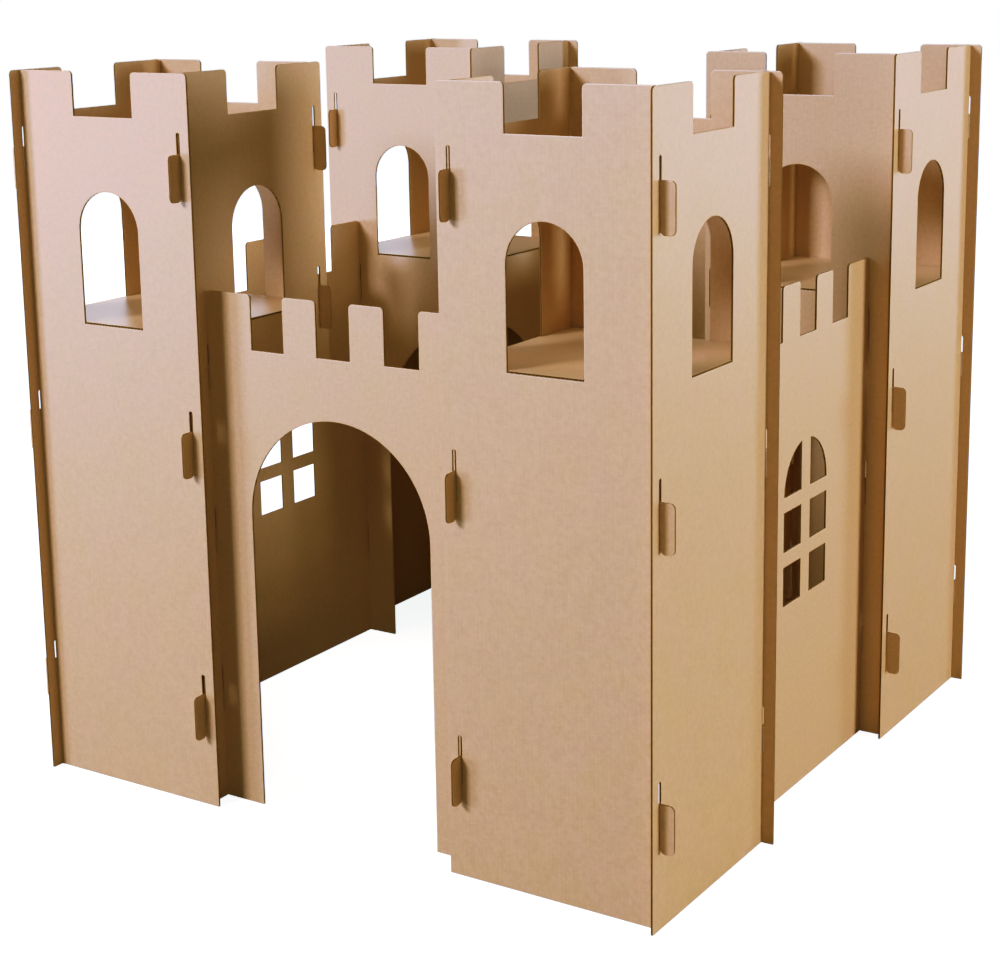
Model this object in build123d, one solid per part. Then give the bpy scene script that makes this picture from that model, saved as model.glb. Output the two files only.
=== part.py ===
from build123d import *
import os

# A play castle for children, slotted together from flat die-cut corrugated board.
# Four square towers stand at the corners and four lower walls join them.
# The origin is on the ground, at the centre of the footprint. The gate faces -Y and +Z is up.

# Board and outline of the castle, in millimetres
board = 4.0
tower_width = 380.0
tower_gap = 560.0
tower_height = 1340.0
wall_height = 956.0
wall_setback = 52.0

# Hook and slot joint
strip = 22.0
hook_height = 83.0
hook_drop = 34.0
hook_reach = 26.0
hook_round = 9.0
lip_gap = 0.5
slot_side_clearance = 2.0
slot_end_clearance = 3.0

# Heights at which a hook's neck sits in its slot, the highest measured down from the board's top
lowest_seat = 166.0
corner_seat_count = 3
corner_seat_depth = 188.0
doorway_seat_count = 2
doorway_seat_depth = 168.0
doorway_seat_rise = 120.0
wall_seat_count = 3
wall_seat_depth = 182.0

# Battlements
merlon_round = 8.0
tower_crenel_width = 141.0
tower_crenel_depth = 80.0
wall_crenel_width = 72.0
wall_crenel_depth = 100.0
wall_merlon_width = 72.0
wall_crenel_count = 3

# Tower windows, floors and corner doorways
parapet_height = 458.0
window_width = 142.0
window_side_height = 174.0
floor_edge_clearance = 1.0
tongue_clearance = 2.0
floor_corner_cut = 10.0
doorway_lintel = 134.0
doorway_radius = 255.0

# Gate and wall windows, which hang from the foot of the battlements
gate_lintel = 109.0
gate_width = 388.0
wall_window_lintel = 193.0
pane_width = 74.0
pane_height = 74.0
mullion = 38.0
glazing_bar = 28.0
pane_rows = 2

# Sizes that follow from the ones above
neck_height = hook_height - hook_drop
slot_length = hook_height + slot_end_clearance
slot_width = board + 2 * slot_side_clearance
panel_low = -strip
panel_high = tower_width - board
panel_centre = (panel_low + panel_high) / 2
half_span = tower_width + tower_gap / 2
tower_centre = half_span - tower_width / 2
window_sill = tower_height - parapet_height
doorway_apex = window_sill - doorway_lintel
doorway_side_height = doorway_apex - doorway_radius
wall_crenel_foot = wall_height - wall_crenel_depth
gate_side_height = wall_crenel_foot - gate_lintel - gate_width / 2
beyond = 10.0


def rectangle(x_low, x_high, z_low, z_high):
    width = x_high - x_low
    height = z_high - z_low
    return Pos(x_low + width / 2, z_low + height / 2) * Rectangle(width, height)


def round_top(profile):
    # Rounds every corner that lies on the top edge.
    corners = profile.vertices().group_by(Axis.Y)[-1]
    return fillet(corners, merlon_round)


def arched_opening(x_centre, width, z_low, z_spring):
    opening = rectangle(x_centre - width / 2, x_centre + width / 2, z_low, z_spring)
    return opening + Pos(x_centre, z_spring) * Circle(width / 2)


def seats(lowest, highest, count):
    pitch = (highest - lowest) / (count - 1)
    return [lowest + pitch * step for step in range(count)]


corner_seats = seats(lowest_seat, tower_height - corner_seat_depth, corner_seat_count)
wall_seats = seats(lowest_seat, wall_height - wall_seat_depth, wall_seat_count)
doorway_seats = seats(doorway_apex + doorway_seat_rise, tower_height - doorway_seat_depth, doorway_seat_count)


def slot(x_centre, seat):
    # The neck sits on the slot's flat lower end. The upper end is round.
    z_round = seat + slot_length - slot_width / 2
    straight = rectangle(x_centre - slot_width / 2, x_centre + slot_width / 2, seat, z_round)
    return straight + Pos(x_centre, z_round) * Circle(slot_width / 2)


def hook(x_edge, seat, direction):
    # A neck passes through the next board, and a lip hangs down behind its far face.
    lip_start = board + lip_gap
    lip_width = hook_reach - lip_gap
    lip_centre = x_edge + direction * (lip_start + lip_width / 2)
    lip = Pos(lip_centre, seat + neck_height - hook_height / 2)
    lip *= RectangleRounded(lip_width, hook_height, hook_round)
    inner = x_edge - direction * board
    outer = x_edge + direction * (lip_start + hook_round)
    neck = rectangle(min(inner, outer), max(inner, outer), seat, seat + neck_height)
    return neck + lip


def cut_from_board(profile):
    # The outer face lies at Y = 0 and the board's thickness runs towards +Y.
    return extrude(Plane.XZ * profile, -board)


# Tower panel, seen from outside: its slotted end is at the left and its hooks at the right.
# X = 0 is the tower's left face, so the slotted end runs past it by the strip.
def tower_panel(doorway_end):
    profile = rectangle(panel_low, panel_high, 0, tower_height)
    profile -= rectangle(
        panel_centre - tower_crenel_width / 2,
        panel_centre + tower_crenel_width / 2,
        tower_height - tower_crenel_depth,
        tower_height + beyond,
    )
    profile = round_top(profile)
    window_spring = window_sill + window_side_height
    profile -= arched_opening(panel_centre, window_width, window_sill, window_spring)
    if doorway_end == "slotted":
        profile -= corner_doorway(0, panel_low - beyond)
        wall_slot_x = tower_width - wall_setback - board / 2
    if doorway_end == "hooked":
        profile -= corner_doorway(tower_width, panel_high + beyond)
        wall_slot_x = wall_setback + board / 2
    for seat in doorway_seats if doorway_end == "slotted" else corner_seats:
        profile -= slot(board / 2, seat)
    for seat in doorway_seats if doorway_end == "hooked" else corner_seats:
        profile += hook(panel_high, seat, 1)
    if doorway_end != "none":
        for seat in wall_seats:
            profile -= slot(wall_slot_x, seat)
    return cut_from_board(profile)


def corner_doorway(x_corner, x_past_edge):
    # Half of a round-topped doorway whose other half is cut from the next panel.
    x_far = x_corner + doorway_radius if x_past_edge < x_corner else x_corner - doorway_radius
    opening = rectangle(min(x_far, x_past_edge), max(x_far, x_past_edge), -beyond, doorway_side_height)
    opening += Pos(x_corner, doorway_side_height) * Circle(doorway_radius)
    if x_past_edge < x_corner:
        opening += rectangle(x_past_edge, x_corner, doorway_side_height, doorway_apex)
    return opening


# Tower floor: a square plate whose four tongues rest on the window sills.
def tower_floor():
    half_plate = tower_width / 2 - board - floor_edge_clearance
    plate = Rectangle(2 * half_plate, 2 * half_plate)
    plate = chamfer(plate.vertices(), floor_corner_cut)
    tongue_width = window_width - 2 * tongue_clearance
    tongue_x = panel_centre - tower_width / 2
    tongue_length = board + floor_edge_clearance + beyond
    tongue = Pos(tongue_x, tongue_length / 2 - tower_width / 2) * Rectangle(tongue_width, tongue_length)
    for quarter in range(4):
        plate += Rot(0, 0, 90 * quarter) * tongue
    return Pos(0, 0, window_sill) * extrude(plate, board)


# Tower, centred on its own axis, with its corner doorway at the front right.
def tower():
    doorway_ends = ["hooked", "slotted", "none", "none"]
    panels = []
    for quarter, doorway_end in enumerate(doorway_ends):
        centred = Pos(-tower_width / 2, -tower_width / 2, 0) * tower_panel(doorway_end)
        panels.append(Rot(0, 0, 90 * quarter) * centred)
    return panels, tower_floor()


# Castle wall: X = 0 is its middle, and both ends butt against tower panels.
def castle_wall(opening):
    half_gap = tower_gap / 2
    profile = rectangle(-half_gap, half_gap, 0, wall_height)
    crenel_pitch = wall_crenel_width + wall_merlon_width
    for step in range(wall_crenel_count):
        x_centre = crenel_pitch * (step - (wall_crenel_count - 1) / 2)
        profile -= rectangle(
            x_centre - wall_crenel_width / 2,
            x_centre + wall_crenel_width / 2,
            wall_crenel_foot,
            wall_height + beyond,
        )
    profile = round_top(profile)
    profile -= opening
    for seat in wall_seats:
        profile += hook(half_gap, seat, 1)
        profile += hook(-half_gap, seat, -1)
    return cut_from_board(profile)


def gate_opening():
    return arched_opening(0, gate_width, -beyond, gate_side_height)


def window_opening():
    # Two columns of panes under a round top, split by a mullion and glazing bars.
    full_width = 2 * pane_width + mullion
    row_pitch = pane_height + glazing_bar
    top_row = wall_crenel_foot - wall_window_lintel - full_width / 2
    sill = top_row - pane_rows * row_pitch
    opening = arched_opening(0, full_width, sill, top_row)
    opening -= rectangle(-mullion / 2, mullion / 2, sill, top_row + full_width)
    for row in range(pane_rows):
        bar_low = sill + row * row_pitch + pane_height
        opening -= rectangle(-full_width, full_width, bar_low, bar_low + glazing_bar)
    return opening


os.makedirs("parts", exist_ok=True)
sides = ["front", "right", "back", "left"]

# The towers are turned copies of one another, apart from the front left one, which is the back
# left one's mirror image.
tower_names = ["back_left", "front_left", "front_right", "back_right"]
panels, floor = tower()
corner = Pos(-tower_centre, tower_centre, 0)
for quarters, name in enumerate(tower_names):
    place = Rot(0, 0, 90 * quarters) * corner
    for quarter, panel in enumerate(panels):
        side = sides[(quarter + quarters) % 4]
        placed = place * panel
        if name == "front_left":
            side = ["back", "right", "front", "left"][quarter]
            placed = mirror(corner * panel, about=Plane.XZ)
        export_step(placed, f"parts/{name}_tower_{side}_panel.step")
    placed = mirror(corner * floor, about=Plane.XZ) if name == "front_left" else place * floor
    export_step(placed, f"parts/{name}_tower_floor.step")

# The outer face of each wall stands back from the towers' outer faces.
for quarter, side in enumerate(sides):
    wall = castle_wall(gate_opening() if side == "front" else window_opening())
    placed = Rot(0, 0, 90 * quarter) * Pos(0, wall_setback - half_span, 0) * wall
    node = "gate_wall" if side == "front" else f"{side}_wall"
    export_step(placed, f"parts/{node}.step")
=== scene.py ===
import bmesh
import bpy
import math
from mathutils import Matrix, Vector
from mathutils.geometry import delaunay_2d_cdt


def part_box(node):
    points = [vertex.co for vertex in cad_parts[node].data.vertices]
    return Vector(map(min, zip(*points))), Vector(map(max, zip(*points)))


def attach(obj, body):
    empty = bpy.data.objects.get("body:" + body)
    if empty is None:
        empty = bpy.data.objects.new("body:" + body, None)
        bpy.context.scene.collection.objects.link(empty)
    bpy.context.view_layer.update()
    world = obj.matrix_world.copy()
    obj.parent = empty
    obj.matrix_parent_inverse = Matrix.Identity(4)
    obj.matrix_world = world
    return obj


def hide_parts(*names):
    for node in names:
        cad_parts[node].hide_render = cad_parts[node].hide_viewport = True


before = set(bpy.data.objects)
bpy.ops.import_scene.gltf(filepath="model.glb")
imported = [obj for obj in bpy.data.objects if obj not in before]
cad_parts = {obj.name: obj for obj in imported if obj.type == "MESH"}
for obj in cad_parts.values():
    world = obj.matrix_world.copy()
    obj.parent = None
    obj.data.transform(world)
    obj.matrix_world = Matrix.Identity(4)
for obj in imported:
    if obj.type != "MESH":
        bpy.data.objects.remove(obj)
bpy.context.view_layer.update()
print("frame loaded:", len(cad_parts), "boards")

scene = bpy.context.scene
for leftover in ("Cube", "Light", "Camera"):
    if leftover in bpy.data.objects:
        bpy.data.objects.remove(bpy.data.objects[leftover])

mm = 0.001  # the boards' settings are in millimetres, the scene is in metres
weldGap = 1e-6  # metres: points of a CAD node or a fluting sheet that are this close are one
fineGap = 1e-7  # metres: the same for the points of an outline
noArea = 1e-12  # square metres, under which a face has no width


def fromHex(code):
    # sRGB hex to the linear colour that a shader socket takes
    channels = [int(code[i:i + 2], 16) / 255 for i in (1, 3, 5)]
    linear = [c / 12.92 if c <= 0.04045 else ((c + 0.055) / 1.055) ** 2.4 for c in channels]
    return (*linear, 1.0)


def addNode(tree, kind, settings=None, sockets=None):
    # sockets: name or number of an input -> a value, or the output that feeds it. Of a Mix node, input
    # 0 is the factor and 6 and 7 are the colours, because both are called A and B for every data type.
    node = tree.nodes.new(kind)
    for name, value in (settings or {}).items():
        setattr(node, name, value)
    for name, value in (sockets or {}).items():
        if isinstance(value, bpy.types.NodeSocket):
            tree.links.new(value, node.inputs[name])
        else:
            node.inputs[name].default_value = value
    return node


# Materials

# Unbleached kraft linerboard, pressed and dried on a paper machine: a warm brown sheet, cloudy where
# the pulp lies thicker, with fibres lying across the flutes, a few bark flecks and a soft sheen.
kraftLook = {
    "pulp": "#D0A37A",
    "pinkCloud": "#D1A27B",
    "yellowCloud": "#D0A378",
    "cloudSize": 70,
    "cloudRange": (0.38, 0.62),  # values of the noise, from all yellow to all pink
    "formationSize": 8,
    "formationShade": (0.91, 1.07),  # times the colour, from thin to thick pulp
    # painted shade between two flutes and painted light on one, beside the real bump of the ribs
    "paintedRibShade": (0.985, 1.008),  # the same between two flutes and on one
    "fibre": "#AF8055",
    "fibreLength": 14,  # real fibres are 3 mm long and 0.03 mm thick, drawn coarser so that they show
    "fibreThickness": 1.5,
    "fibreRange": (0.52, 0.75),
    "fibreStrength": 0.30,
    "fleck": "#8E603A",
    "fleckSpacing": 9,
    "fleckSize": 0.5,
    "fleckFade": (0.6, 1.6),  # in sizes of a fleck, from its full strength to none
    "fleckStrength": 0.5,
    "roughness": 0.45,
    "roughnessDrift": (-0.04, 0.05),
    "ior": 1.55,
    "sheen": 0.7,  # the drying cylinder glazes the liner, so it mirrors a softbox more than plain paper
    "warpSize": 170,
    "warpDepth": 0.9,
    "ribDepth": 0.02,  # the flutes press faintly through the liner
    "grainSize": 1.4,
    "grainDepth": 0.06,
}

# The liner's cut edge: darker and browner than the face, with no sheen
cutEdgeLook = {
    "paper": "#A67A4E",
    "shade": (0.8, 1.1),
    "grainSize": 1.2,
    "grainDepth": 0.08,
    "roughness": 0.9,
}

# Fluting rolled from recycled paper: short fibres of a dull, dark brown, matt all over
flutingLook = {
    "paper": "#72512F",
    "shade": (0.8, 1.1),
    "grainSize": 2.0,
    "grainDepth": 0.05,
    "roughness": 0.9,
}

# Single-wall board with C flutes, 7.8 mm apart. The die crushes the liners a little along each cut.
boardMake = {
    "linerThickness": 0.4,
    "paperThickness": 0.3,
    "flutePitch": 7.8,
    "pointsPerFlute": 12,
    "crush": 0.25,
    "crushWidth": 1.4,
    "cutRecess": 0.15,
    "overhang": 1,  # of the fluting before it is cut to the board's outline
    "spareFlutes": 3,
}

noiseRange = {"From Min": 0.3, "From Max": 0.7}  # a noise pattern seldom leaves these values


def newMaterial(name):
    material = bpy.data.materials.new(name)
    material.use_nodes = True
    material.node_tree.nodes.clear()
    return material, material.node_tree


def perMm(size):
    # The Scale of a pattern whose features are that many millimetres across
    return 1 / (size * mm)


def kraftLiner(name, fluteRun):
    # fluteRun: "upright", or "y" for a level floor whose flutes run along Y
    material, tree = newMaterial(name)
    look = kraftLook
    place = addNode(tree, "ShaderNodeTexCoord").outputs["Object"]
    axes = addNode(tree, "ShaderNodeSeparateXYZ", {}, {"Vector": place}).outputs

    # x + y runs across the flutes on both kinds of upright board
    across = axes["X"]
    fibreWay = (look["fibreLength"], look["fibreThickness"], look["fibreThickness"])
    if fluteRun == "upright":
        across = addNode(tree, "ShaderNodeMath", {"operation": "ADD"}, {
            0: axes["X"], 1: axes["Y"]}).outputs[0]
        fibreWay = (look["fibreLength"], look["fibreLength"], look["fibreThickness"])

    cloud = addNode(tree, "ShaderNodeTexNoise", {}, {
        "Vector": place, "Scale": perMm(look["cloudSize"]), "Detail": 4.0, "Roughness": 0.6})
    tint = addNode(tree, "ShaderNodeValToRGB", {}, {"Fac": cloud.outputs["Fac"]})
    yellowEnd, pinkEnd = tint.color_ramp.elements
    yellowEnd.position, pinkEnd.position = look["cloudRange"]
    yellowEnd.color = fromHex(look["yellowCloud"])
    pinkEnd.color = fromHex(look["pinkCloud"])
    tint.color_ramp.elements.new(sum(look["cloudRange"]) / 2).color = fromHex(look["pulp"])

    # Thicker and thinner pulp, and faint stripes over the flutes behind it: painted shade between the
    # flutes and painted light on them
    formation = addNode(tree, "ShaderNodeTexNoise", {}, {
        "Vector": place, "Scale": perMm(look["formationSize"]), "Detail": 6.0, "Roughness": 0.65})
    thin, thick = look["formationShade"]
    shade = addNode(tree, "ShaderNodeMapRange", {}, {
        "Value": formation.outputs["Fac"], **noiseRange, "To Min": thin, "To Max": thick})
    turns = addNode(tree, "ShaderNodeMath", {"operation": "MULTIPLY"}, {
        0: across, 1: 2 * math.pi * perMm(boardMake["flutePitch"])})
    rib = addNode(tree, "ShaderNodeMath", {"operation": "SINE"}, {0: turns.outputs[0]}).outputs[0]
    # painted shade in the hollows between flutes, painted light on their crests
    between, onFlute = look["paintedRibShade"]
    paintedRibStripe = addNode(tree, "ShaderNodeMapRange", {}, {
        "Value": rib, "From Min": -1.0, "From Max": 1.0, "To Min": between, "To Max": onFlute})
    strength = addNode(tree, "ShaderNodeMath", {"operation": "MULTIPLY"}, {
        0: shade.outputs["Result"], 1: paintedRibStripe.outputs["Result"]})
    pulp = addNode(tree, "ShaderNodeVectorMath", {"operation": "SCALE"}, {
        0: tint.outputs["Color"], "Scale": strength.outputs[0]})

    lying = addNode(tree, "ShaderNodeMapping", {}, {
        "Vector": place, "Scale": [perMm(size) for size in fibreWay]})
    fibre = addNode(tree, "ShaderNodeTexNoise", {}, {
        "Vector": lying.outputs[0], "Scale": 1.0, "Detail": 4.0, "Roughness": 0.65, "Distortion": 0.6})
    fibreLow, fibreHigh = look["fibreRange"]
    fibreAmount = addNode(tree, "ShaderNodeMapRange", {}, {
        "Value": fibre.outputs["Fac"], "From Min": fibreLow, "From Max": fibreHigh,
        "To Min": 0.0, "To Max": look["fibreStrength"]})
    fibrous = addNode(tree, "ShaderNodeMix", {"data_type": "RGBA"}, {
        0: fibreAmount.outputs["Result"], 6: pulp.outputs["Vector"], 7: fromHex(look["fibre"])})
    bark = addNode(tree, "ShaderNodeTexVoronoi", {}, {
        "Vector": place, "Scale": perMm(look["fleckSpacing"])})
    fleckReach = look["fleckSize"] / look["fleckSpacing"]
    fadeStart, fadeEnd = look["fleckFade"]
    fleckAmount = addNode(tree, "ShaderNodeMapRange", {}, {
        "Value": bark.outputs["Distance"],
        "From Min": fleckReach * fadeStart, "From Max": fleckReach * fadeEnd,
        "To Min": look["fleckStrength"], "To Max": 0.0})
    colour = addNode(tree, "ShaderNodeMix", {"data_type": "RGBA"}, {
        0: fleckAmount.outputs["Result"], 6: fibrous.outputs[2], 7: fromHex(look["fleck"])})

    # The board's slight warp, then the ribs over the flutes, then the grain of the paper
    warp = addNode(tree, "ShaderNodeTexNoise", {}, {
        "Vector": place, "Scale": perMm(look["warpSize"]), "Detail": 1.0})
    grain = addNode(tree, "ShaderNodeTexNoise", {}, {
        "Vector": place, "Scale": perMm(look["grainSize"]), "Detail": 3.0})
    relief = addNode(tree, "ShaderNodeBump", {}, {
        "Distance": look["warpDepth"] * mm, "Height": warp.outputs["Fac"]})
    for depth, height in (
            (look["ribDepth"], rib),
            (look["grainDepth"], grain.outputs["Fac"]),
            (look["grainDepth"], fibre.outputs["Fac"])):
        relief = addNode(tree, "ShaderNodeBump", {}, {
            "Distance": depth * mm, "Height": height, "Normal": relief.outputs["Normal"]})
    smoother, rougher = look["roughnessDrift"]
    polish = addNode(tree, "ShaderNodeMapRange", {}, {
        "Value": formation.outputs["Fac"], **noiseRange,
        "To Min": look["roughness"] + smoother, "To Max": look["roughness"] + rougher})
    shader = addNode(tree, "ShaderNodeBsdfPrincipled", {}, {
        "Base Color": colour.outputs[2], "Roughness": polish.outputs["Result"], "IOR": look["ior"],
        "Specular IOR Level": look["sheen"], "Normal": relief.outputs["Normal"]})
    addNode(tree, "ShaderNodeOutputMaterial", {}, {"Surface": shader.outputs[0]})
    return material


def plainPaper(name, look):
    # Paper seen only at the cuts, which has grain and no sheen
    material, tree = newMaterial(name)
    place = addNode(tree, "ShaderNodeTexCoord").outputs["Object"]
    grain = addNode(tree, "ShaderNodeTexNoise", {}, {
        "Vector": place, "Scale": perMm(look["grainSize"]), "Detail": 4.0})
    darker, paler = look["shade"]
    shade = addNode(tree, "ShaderNodeMapRange", {}, {
        "Value": grain.outputs["Fac"], **noiseRange, "To Min": darker, "To Max": paler})
    colour = addNode(tree, "ShaderNodeVectorMath", {"operation": "SCALE"}, {
        0: fromHex(look["paper"])[:3], "Scale": shade.outputs["Result"]})
    relief = addNode(tree, "ShaderNodeBump", {}, {
        "Distance": look["grainDepth"] * mm, "Height": grain.outputs["Fac"]})
    shader = addNode(tree, "ShaderNodeBsdfPrincipled", {}, {
        "Base Color": colour.outputs["Vector"], "Roughness": look["roughness"],
        "Normal": relief.outputs["Normal"]})
    addNode(tree, "ShaderNodeOutputMaterial", {}, {"Surface": shader.outputs[0]})
    return material


uprightLiner = kraftLiner("kraft_liner_upright_flutes", "upright")
floorLiner = kraftLiner("kraft_liner_floor_flutes", "y")
cutLiner = plainPaper("die_cut_liner_edge", cutEdgeLook)
flutingPaper = plainPaper("recycled_fluting_paper", flutingLook)
linerSlot, edgeSlot, paperSlot = range(3)  # a board's materials, in this order
print("materials made")


# Boards

def boardAxes(node):
    # The thin way through the board, the way across its flutes and the way along them
    low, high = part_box(node)
    size = high - low
    through = min(range(3), key=lambda axis: size[axis])
    if through == 2:
        return through, 0, 1
    return through, 1 - through, 2


def boardOutline(node, axes):
    # The board's outline and openings as closed loops, with the board on each loop's left
    through, across, along = axes
    bm = bmesh.new()
    bm.from_mesh(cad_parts[node].data)
    bmesh.ops.remove_doubles(bm, verts=bm.verts, dist=weldGap)
    top = max(vert.co[through] for vert in bm.verts)
    cap = {face for face in bm.faces
           if all(abs(vert.co[through] - top) < weldGap for vert in face.verts)}
    following = {}
    for face in cap:
        for corner in face.loops:
            if sum(other in cap for other in corner.edge.link_faces) == 1:
                following[corner.vert] = corner.link_loop_next.vert
    loops = []
    while following:
        vert = next(iter(following))
        loop = []
        while vert in following:
            loop.append(Vector((vert.co[across], vert.co[along])))
            vert = following.pop(vert)
        loops.append(loop)
    bm.free()
    if signedArea(max(loops, key=lambda loop: abs(signedArea(loop)))) < 0:
        loops = [loop[::-1] for loop in loops]
    return loops


def signedArea(loop):
    return sum(a.x * b.y - b.x * a.y for a, b in zip(loop, loop[1:] + loop[:1])) / 2


def insetLoop(loop, distance):
    moved = []
    for i, point in enumerate(loop):
        before = (point - loop[i - 1]).normalized()
        after = (loop[(i + 1) % len(loop)] - point).normalized()
        sideA = Vector((-before.y, before.x))
        sideB = Vector((-after.y, after.x))
        moved.append(point + (sideA + sideB) * (distance / (1 + sideA.dot(sideB))))
    return moved


def fillLoops(loops):
    # Triangles between the loops, as numbers of the loops' points in order
    points = [point for loop in loops for point in loop]
    edges = []
    for loop in loops:
        start = len(edges)
        edges += [(start + i, start + (i + 1) % len(loop)) for i in range(len(loop))]
    corners, _, faces, origin, _, _ = delaunay_2d_cdt(points, edges, [], 1, fineGap)
    sides = [(points[a], points[b]) for a, b in edges]
    kept = []
    for face in faces:
        middle = sum((corners[i] for i in face), Vector((0, 0))) / len(face)
        if onBoard(middle, sides):
            kept.append([origin[i][0] for i in face])
    return kept


def onBoard(point, sides):
    # Counts the sides of the outline that lie to the point's right
    crossings = 0
    for a, b in sides:
        if (a.y > point.y) != (b.y > point.y):
            crossings += a.x + (point.y - a.y) * (b.x - a.x) / (b.y - a.y) > point.x
    return crossings % 2 == 1


def placer(node, axes, fromLow=True):
    # A function that puts a point of the outline at a depth under the board's low or high face
    through, across, along = axes
    low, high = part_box(node)

    def place(point, depth):
        spot = Vector((0, 0, 0))
        spot[through] = low[through] + depth if fromLow else high[through] - depth
        spot[across], spot[along] = point
        return spot
    return place


def addSheet(bm, rims, fills, depths, place, faceSlot=0, cutSlot=0):
    # A closed sheet: rims are the loops at the cut, fills the same loops a little inside it.
    # depths: of the face at the cut and inside, then of the back at the cut and inside
    rows = []
    for loops, depth in zip((rims, fills, rims, fills), depths):
        rows.append([[bm.verts.new(place(point, depth)) for point in loop] for loop in loops])
    faceRim, faceFill, backRim, backFill = rows
    for a, b, slot in (
            (faceRim, faceFill, faceSlot),
            (backRim, backFill, faceSlot),
            (faceRim, backRim, cutSlot)):
        for loopA, loopB in zip(a, b):
            for i in range(len(loopA)):
                quad = (loopA[i - 1], loopA[i], loopB[i], loopB[i - 1])
                bm.faces.new(quad).material_index = slot
    triangles = fillLoops(fills)
    for fill in (faceFill, backFill):
        flat = [vert for loop in fill for vert in loop]
        for triangle in triangles:
            bm.faces.new([flat[i] for i in triangle]).material_index = faceSlot


def flutingTree():
    # A wavy sheet of paper across the whole board, cut to the board's own outline
    tree = bpy.data.node_groups.new("fluting", "GeometryNodeTree")
    tree.interface.new_socket("Geometry", in_out="INPUT", socket_type="NodeSocketGeometry")
    for name in ("Start", "Across", "Along", "Through"):
        tree.interface.new_socket(name, in_out="INPUT", socket_type="NodeSocketVector")
    for name in ("Pitch", "Height", "Paper"):
        tree.interface.new_socket(name, in_out="INPUT", socket_type="NodeSocketFloat")
    for name in ("Points per flute", "Points"):
        tree.interface.new_socket(name, in_out="INPUT", socket_type="NodeSocketInt")
    tree.interface.new_socket("Paper material", in_out="INPUT", socket_type="NodeSocketMaterial")
    tree.interface.new_socket("Geometry", in_out="OUTPUT", socket_type="NodeSocketGeometry")
    given = addNode(tree, "NodeGroupInput").outputs

    # A line of points across the flutes, swung towards either liner by a sine wave
    spacing = addNode(tree, "ShaderNodeMath", {"operation": "DIVIDE"}, {
        0: given["Pitch"], 1: given["Points per flute"]})
    step = addNode(tree, "ShaderNodeVectorMath", {"operation": "SCALE"}, {
        0: given["Across"], "Scale": spacing.outputs[0]})
    line = addNode(tree, "GeometryNodeMeshLine", {}, {
        "Count": given["Points"], "Start Location": given["Start"], "Offset": step.outputs[0]})
    index = addNode(tree, "GeometryNodeInputIndex").outputs[0]
    flutes = addNode(tree, "ShaderNodeMath", {"operation": "DIVIDE"}, {
        0: index, 1: given["Points per flute"]})
    turns = addNode(tree, "ShaderNodeMath", {"operation": "MULTIPLY"}, {
        0: flutes.outputs[0], 1: 2 * math.pi})
    wave = addNode(tree, "ShaderNodeMath", {"operation": "SINE"}, {0: turns.outputs[0]})
    reach = addNode(tree, "ShaderNodeMath", {"operation": "MULTIPLY"}, {
        0: wave.outputs[0], 1: given["Height"]})
    halved = addNode(tree, "ShaderNodeMath", {"operation": "MULTIPLY"}, {0: reach.outputs[0], 1: 0.5})
    offset = addNode(tree, "ShaderNodeVectorMath", {"operation": "SCALE"}, {
        0: given["Through"], "Scale": halved.outputs[0]})
    wavy = addNode(tree, "GeometryNodeSetPosition", {}, {
        "Geometry": line.outputs["Mesh"], "Offset": offset.outputs[0]})

    # Drawn along the flutes, given the paper's thickness and closed underneath
    ribbon = addNode(tree, "GeometryNodeExtrudeMesh", {"mode": "EDGES"}, {
        "Mesh": wavy.outputs[0], "Offset": given["Along"], "Offset Scale": 1.0})
    thick = addNode(tree, "GeometryNodeExtrudeMesh", {"mode": "FACES"}, {
        "Mesh": ribbon.outputs["Mesh"], "Offset Scale": given["Paper"], "Individual": False})
    under = addNode(tree, "GeometryNodeFlipFaces", {}, {"Mesh": ribbon.outputs["Mesh"]})
    both = addNode(tree, "GeometryNodeJoinGeometry")
    tree.links.new(thick.outputs["Mesh"], both.inputs[0])
    tree.links.new(under.outputs["Mesh"], both.inputs[0])
    closed = addNode(tree, "GeometryNodeMergeByDistance", {}, {
        "Geometry": both.outputs[0], "Distance": weldGap})

    cut = addNode(tree, "GeometryNodeMeshBoolean", {"operation": "INTERSECT", "solver": "MANIFOLD"})
    tree.links.new(closed.outputs[0], cut.inputs["Mesh 2"])
    tree.links.new(given["Geometry"], cut.inputs["Mesh 2"])
    real = addNode(tree, "GeometryNodeRealizeInstances", {}, {"Geometry": cut.outputs["Mesh"]})
    dressed = addNode(tree, "GeometryNodeSetMaterial", {}, {
        "Geometry": real.outputs[0], "Material": given["Paper material"]})
    addNode(tree, "NodeGroupOutput", {}, {0: dressed.outputs[0]})
    return tree


fluting = flutingTree()


def meshObject(name, bm):
    bmesh.ops.recalc_face_normals(bm, faces=bm.faces)
    mesh = bpy.data.meshes.new(name)
    bm.to_mesh(mesh)
    bm.free()
    made = bpy.data.objects.new(name, mesh)
    scene.collection.objects.link(made)
    return made


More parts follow.
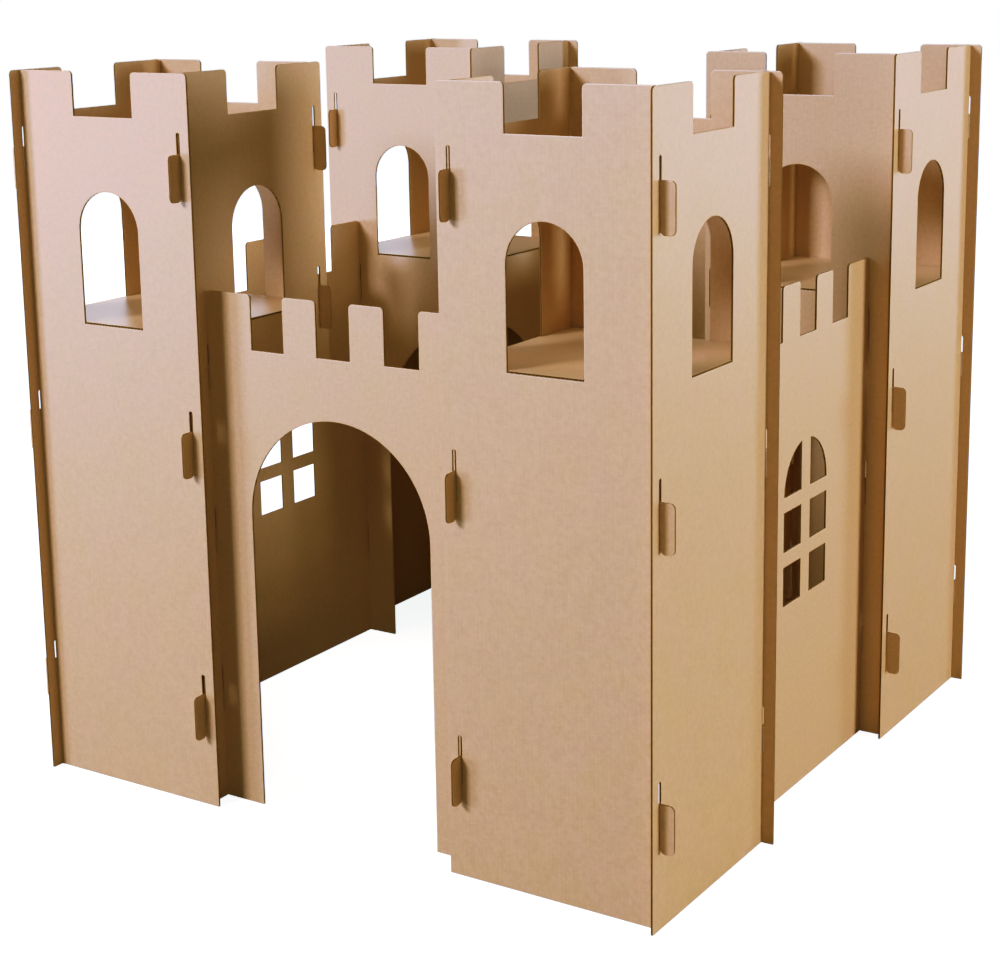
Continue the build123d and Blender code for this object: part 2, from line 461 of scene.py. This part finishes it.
def cutFluting(node, rims, axes):
    # The fluting between a board's liners, cut back a little from the board's outline
    make = boardMake
    through, across, along = axes
    low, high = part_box(node)
    thickness = high[through] - low[through]
    height = thickness - 2 * (make["crush"] + make["linerThickness"]) * mm
    coreTop = (thickness + height) / 2
    coreFoot = (thickness - height) / 2
    bm = bmesh.new()
    shape = [insetLoop(loop, make["cutRecess"] * mm) for loop in rims]
    addSheet(bm, shape, shape, (coreFoot, coreFoot, coreTop, coreTop), placer(node, axes))
    # the ring between equal rim and fill loops has no width, so it goes
    flatFaces = [face for face in bm.faces if face.calc_area() < noArea]
    bmesh.ops.delete(bm, geom=flatFaces, context="FACES_ONLY")
    bmesh.ops.remove_doubles(bm, verts=bm.verts, dist=fineGap)
    core = meshObject(node + "_core", bm)
    modifier = core.modifiers.new("fluting", "NODES")
    modifier.node_group = fluting
    middle = (low + high) / 2
    start = low.copy()
    start[through] = middle[through] - make["paperThickness"] * mm / 2
    start[along] -= make["overhang"] * mm
    start[across] -= make["flutePitch"] * mm
    units = [Vector((0, 0, 0)) for _ in range(3)]
    for axis in range(3):
        units[axis][axis] = 1.0
    perFlute = make["pointsPerFlute"]
    fluteCount = int((high[across] - low[across]) / (make["flutePitch"] * mm) + make["spareFlutes"])
    values = {
        "Start": start,
        "Across": units[across],
        "Along": units[along] * (high[along] - low[along] + 2 * make["overhang"] * mm),
        "Through": units[through],
        "Pitch": make["flutePitch"] * mm,
        "Height": height - make["paperThickness"] * mm,
        "Paper": make["paperThickness"] * mm,
        "Points per flute": perFlute,
        "Points": fluteCount * perFlute,
        "Paper material": flutingPaper,
    }
    for item in fluting.interface.items_tree:
        if item.in_out == "INPUT" and item.name in values:
            modifier[item.identifier] = values[item.name]
    shown = core.evaluated_get(bpy.context.evaluated_depsgraph_get())
    mesh = bpy.data.meshes.new_from_object(shown)
    core.modifiers.remove(modifier)
    bpy.data.objects.remove(core)
    return mesh


def makeBoard(node):
    make = boardMake
    axes = boardAxes(node)
    rims = boardOutline(node, axes)
    fills = [insetLoop(loop, make["crushWidth"] * mm) for loop in rims]
    liner = make["linerThickness"] * mm
    crush = make["crush"] * mm
    linerDepths = (crush, 0, crush + liner, liner)
    bm = bmesh.new()
    for fromLow in (True, False):
        addSheet(bm, rims, fills, linerDepths, placer(node, axes, fromLow), linerSlot, edgeSlot)
    board = meshObject(node + "_board", bm)
    isFloor = axes[0] == 2  # thin along Z
    for material in (floorLiner if isFloor else uprightLiner, cutLiner, flutingPaper):
        board.data.materials.append(material)

    paper = cutFluting(node, rims, axes)
    bm = bmesh.new()
    bm.from_mesh(board.data)
    linerFaces = len(bm.faces)
    bm.from_mesh(paper)
    bm.faces.ensure_lookup_table()
    for face in bm.faces[linerFaces:]:
        face.material_index = paperSlot
    bm.to_mesh(board.data)
    bm.free()
    bpy.data.meshes.remove(paper)
    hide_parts(node)
    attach(board, "root")
    return board


faceCount = 0
for node in sorted(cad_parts):
    board = makeBoard(node)
    faceCount += len(board.data.polygons)
print("boards made:", len(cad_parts), "faces:", faceCount)


# Studio, in metres

studio = {
    "white": "#FFFFFF",
    "floorWidth": 60,
    "floorDrop": 0.0003,  # so that it never touches the boards' cut edges
    "floorShade": "#B4B4B4",
    "floorBounce": "#7C7C7C",
    # how much weaker the painted glow of the backdrop is near the castle, and from where to where it grows
    # to full strength
    "shadowDepth": 0.1,
    "shadowNear": 1.1,
    "shadowFar": 2.8,
    "aim": (0, -0.15, 0.7),
}

# Softboxes on a circle round the castle, cooler in front and warmer on the right.
# degrees: from the gate's front, towards the right. height: of its middle. size: its width and height
softboxDistance = 8.0
softboxes = {
    "front": {"degrees": -24, "height": 4.5, "size": (2.6, 1.8), "watts": 645, "colour": "#F7F6FF"},
    "lowLeft": {"degrees": -45, "height": 0.8, "size": (1.6, 1.6), "watts": 131, "colour": "#F7F7FF"},
    "besideCamera": {"degrees": 33, "height": 3.5, "size": (2.3, 2.3), "watts": 50, "colour": "#FFFFFF"},
    "lowRight": {"degrees": 95, "height": 1.0, "size": (2.3, 2.3), "watts": 465, "colour": "#FFFAF1"},
    "lowBackRight": {"degrees": 143, "height": 1.0, "size": (2.3, 2.3), "watts": 122, "colour": "#FFFAF1"},
    "backLeft": {"degrees": -135, "height": 1.6, "size": (2.3, 2.3), "watts": 110, "colour": "#FFFFFF"},
}
overhead = {"height": 6.0, "size": (3.0, 3.0), "watts": 97, "colour": "#FFFFFF"}


def studioPaper():
    # Backdrop paper that glows white for the camera, painted light: the glow is weaker near the castle, a
    # painted shade that lets a faint shadow show there and none further out, and the paper throws little
    # light back, because shaded cardboard takes its light mostly from cardboard.
    material, tree = newMaterial("studio_backdrop_paper")
    place = addNode(tree, "ShaderNodeTexCoord").outputs["Object"]
    away = addNode(tree, "ShaderNodeVectorMath", {"operation": "LENGTH"}, {0: place})
    glow = addNode(tree, "ShaderNodeMapRange", {"interpolation_type": "SMOOTHSTEP"}, {
        "Value": away.outputs["Value"],
        "From Min": studio["shadowNear"], "From Max": studio["shadowFar"],
        "To Min": 1 - studio["shadowDepth"], "To Max": 1.0})
    # painted light: the paper glows, less near the castle
    paintedGlow = addNode(tree, "ShaderNodeEmission", {}, {
        "Color": fromHex(studio["white"]), "Strength": glow.outputs["Result"]})
    shaded = addNode(tree, "ShaderNodeBsdfDiffuse", {}, {"Color": fromHex(studio["floorShade"])})
    shown = addNode(tree, "ShaderNodeAddShader", {}, {0: paintedGlow.outputs[0], 1: shaded.outputs[0]})
    bounce = addNode(tree, "ShaderNodeBsdfDiffuse", {}, {"Color": fromHex(studio["floorBounce"])})
    seen = addNode(tree, "ShaderNodeLightPath").outputs["Is Camera Ray"]
    paper = addNode(tree, "ShaderNodeMixShader", {}, {
        0: seen, 1: bounce.outputs[0], 2: shown.outputs[0]})
    addNode(tree, "ShaderNodeOutputMaterial", {}, {"Surface": paper.outputs[0]})
    return material


floorMesh = bmesh.new()
bmesh.ops.create_grid(floorMesh, x_segments=1, y_segments=1, size=studio["floorWidth"] / 2)
bmesh.ops.translate(floorMesh, verts=floorMesh.verts, vec=(0, 0, -studio["floorDrop"]))
studioFloor = meshObject("studio_floor", floorMesh)
studioFloor.data.materials.append(studioPaper())

# The backdrop goes on to the horizon: the camera sees it white, and it gives the castle no light.
world = bpy.data.worlds.new("studio_world")
scene.world = world
world.use_nodes = True
world.node_tree.nodes.clear()
seen = addNode(world.node_tree, "ShaderNodeLightPath").outputs["Is Camera Ray"]
backdrop = addNode(world.node_tree, "ShaderNodeBackground", {}, {
    "Color": fromHex(studio["white"]), "Strength": seen})
addNode(world.node_tree, "ShaderNodeOutputWorld", {}, {0: backdrop.outputs[0]})


def addSoftbox(name, spot, box):
    data = bpy.data.lights.new(name, "AREA")
    data.shape = "RECTANGLE"
    data.size, data.size_y = box["size"]
    data.energy = box["watts"]
    data.color = fromHex(box["colour"])[:3]
    lamp = bpy.data.objects.new(name, data)
    lamp.location = spot
    lamp.rotation_euler = (Vector(studio["aim"]) - Vector(spot)).to_track_quat("-Z", "Y").to_euler()
    lamp.visible_camera = False
    scene.collection.objects.link(lamp)


for name, box in softboxes.items():
    angle = math.radians(box["degrees"])
    spot = (softboxDistance * math.sin(angle), -softboxDistance * math.cos(angle), box["height"])
    addSoftbox(name, spot, box)
addSoftbox("overhead", (0, 0, overhead["height"]), overhead)

# The camera stands to the right of the gate, a little above the towers.
view = {
    "spot": (2.050, -3.249, 1.529),
    "yaw": 32.92,
    "down": 11.49,
    "roll": -0.90,
    "lens": 71.56,
    "sensor": 36,
    "shiftUp": -0.12,
}
cameraData = bpy.data.cameras.new("photo_camera")
cameraData.lens = view["lens"]
cameraData.sensor_width = view["sensor"]
cameraData.shift_y = view["shiftUp"]
camera = bpy.data.objects.new("photo_camera", cameraData)
turn = Matrix.Rotation(math.radians(view["yaw"]), 4, "Z")
tilt = Matrix.Rotation(math.radians(90 - view["down"]), 4, "X")
roll = Matrix.Rotation(math.radians(view["roll"]), 4, "Z")
camera.matrix_world = Matrix.Translation(view["spot"]) @ turn @ tilt @ roll
scene.collection.objects.link(camera)
scene.camera = camera

# The camera's tone curves. channel: linear light -> the light that is shown. Blue is held back in
# the shades, which turn olive, and lifted in the light, which turns pale; red is held back there.
toneCurves = {
    "red": [(0.3, 0.3), (0.55, 0.552), (0.78, 0.725)],
    "green": [(0.2, 0.203), (0.42, 0.476), (0.7, 0.708)],
    "blue": [
        (0.01, 0.005), (0.02, 0.009), (0.04, 0.020), (0.07, 0.046),
        (0.12, 0.096), (0.22, 0.270), (0.42, 0.565), (0.7, 0.715),
    ],
}
scene.view_settings.view_transform = "Standard"
scene.view_settings.use_curve_mapping = True
tones = scene.view_settings.curve_mapping
for number, channel in enumerate(("red", "green", "blue")):
    for light, shown in toneCurves[channel]:
        tones.curves[number].points.new(light, shown)
tones.update()
print("studio set")
